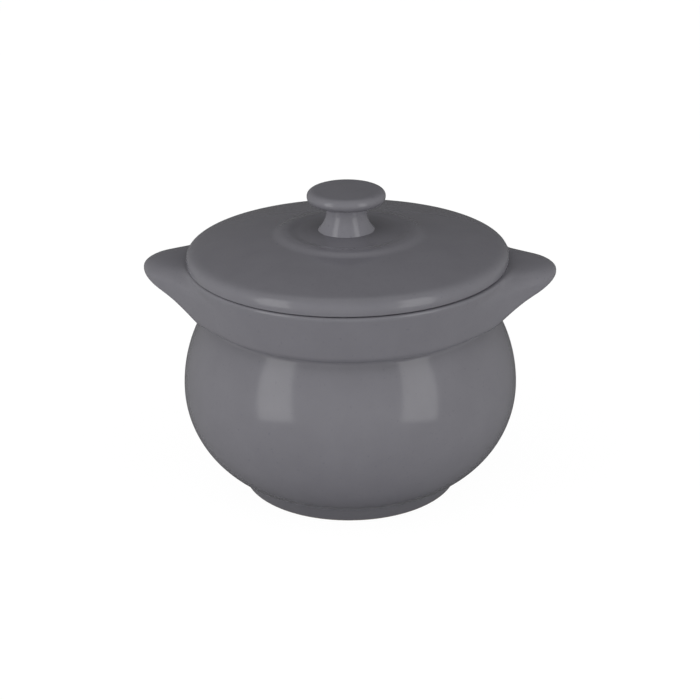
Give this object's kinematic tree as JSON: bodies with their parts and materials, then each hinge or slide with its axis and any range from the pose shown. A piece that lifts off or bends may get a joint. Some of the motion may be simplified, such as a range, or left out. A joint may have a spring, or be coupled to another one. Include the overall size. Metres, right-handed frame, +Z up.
{
  "type": "french onion soup crock",
  "caption": "Round-bellied ceramic soup crock with a collar, lug handles at its sides, a foot ring and a domed lid with a mushroom knob that lifts off.",
  "frame": {"origin": "on the table under the belly's axis, at the centre of the foot ring's standing face", "axes": "+Z up along the belly's axis, +X towards the right-hand lug as seen from the front, +Y towards the back"},
  "size_m": [0.1338, 0.11, 0.1007],
  "materials": {
    "glaze": "glossy dark grey glaze",
    "foot": "glossy dark grey glaze, wiped bare on the face that stands on the table"
  },
  "bodies": {
    "crock": {"bowl": "glaze", "foot_ring": "foot", "rim_collar": "glaze", "left_lug": "glaze", "right_lug": "glaze"},
    "lid": {"lid_plate": "glaze", "lid_locating_ring": "glaze", "lid_knob": "glaze"}
  },
  "joints": [
    {"name": "lid_lift", "type": "slide", "parent": "crock", "child": "lid", "axis": [0, 0, 1], "range_m": [0, 0.08]}
  ]
}
